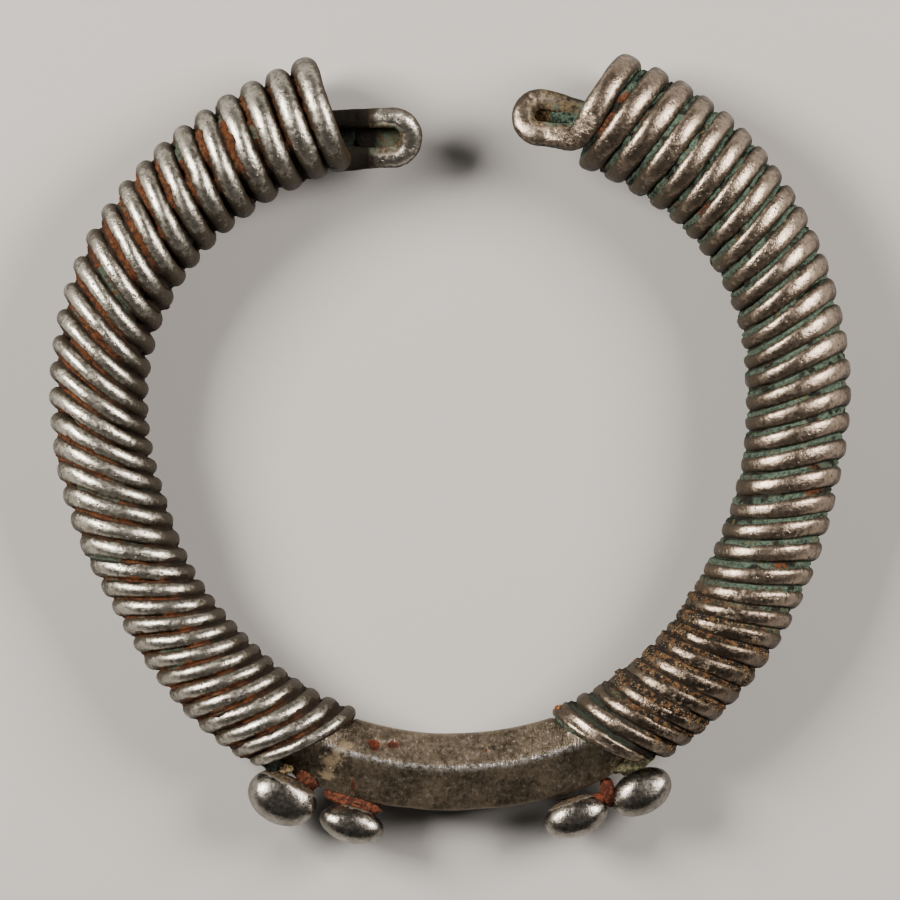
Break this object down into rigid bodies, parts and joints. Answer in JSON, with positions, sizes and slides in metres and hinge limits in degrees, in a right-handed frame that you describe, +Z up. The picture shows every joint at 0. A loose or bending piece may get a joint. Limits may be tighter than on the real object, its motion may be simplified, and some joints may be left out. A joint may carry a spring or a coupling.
{
  "type": "coiled wire bracelet",
  "caption": "Open silver bracelet lying flat: a ridged bar with small oval knobs, and a rod wound with its own wire on both sides, ending in small eye loops.",
  "frame": {"origin": "centre of the bounding box in plan, on the floor that the bracelet lies on", "axes": "+Z up out of the hoop, towards its ridged front; +Y from the bar to the gap between the eye loops; +X to the right seen from the front"},
  "size_m": [0.0804, 0.0792, 0.0124],
  "materials": {
    "hoop_silver": "tarnished silver, bright where worn, with rust-orange and blue-green crust in the grooves",
    "knob_silver": "tarnished silver, smooth and glossy, with reddish residue at the foot"
  },
  "bodies": {
    "root": {"wound_hoop": "hoop_silver", "knob_left_outer": "knob_silver", "knob_left_inner": "knob_silver", "knob_right_inner": "knob_silver", "knob_right_outer": "knob_silver"}
  },
  "joints": []
}
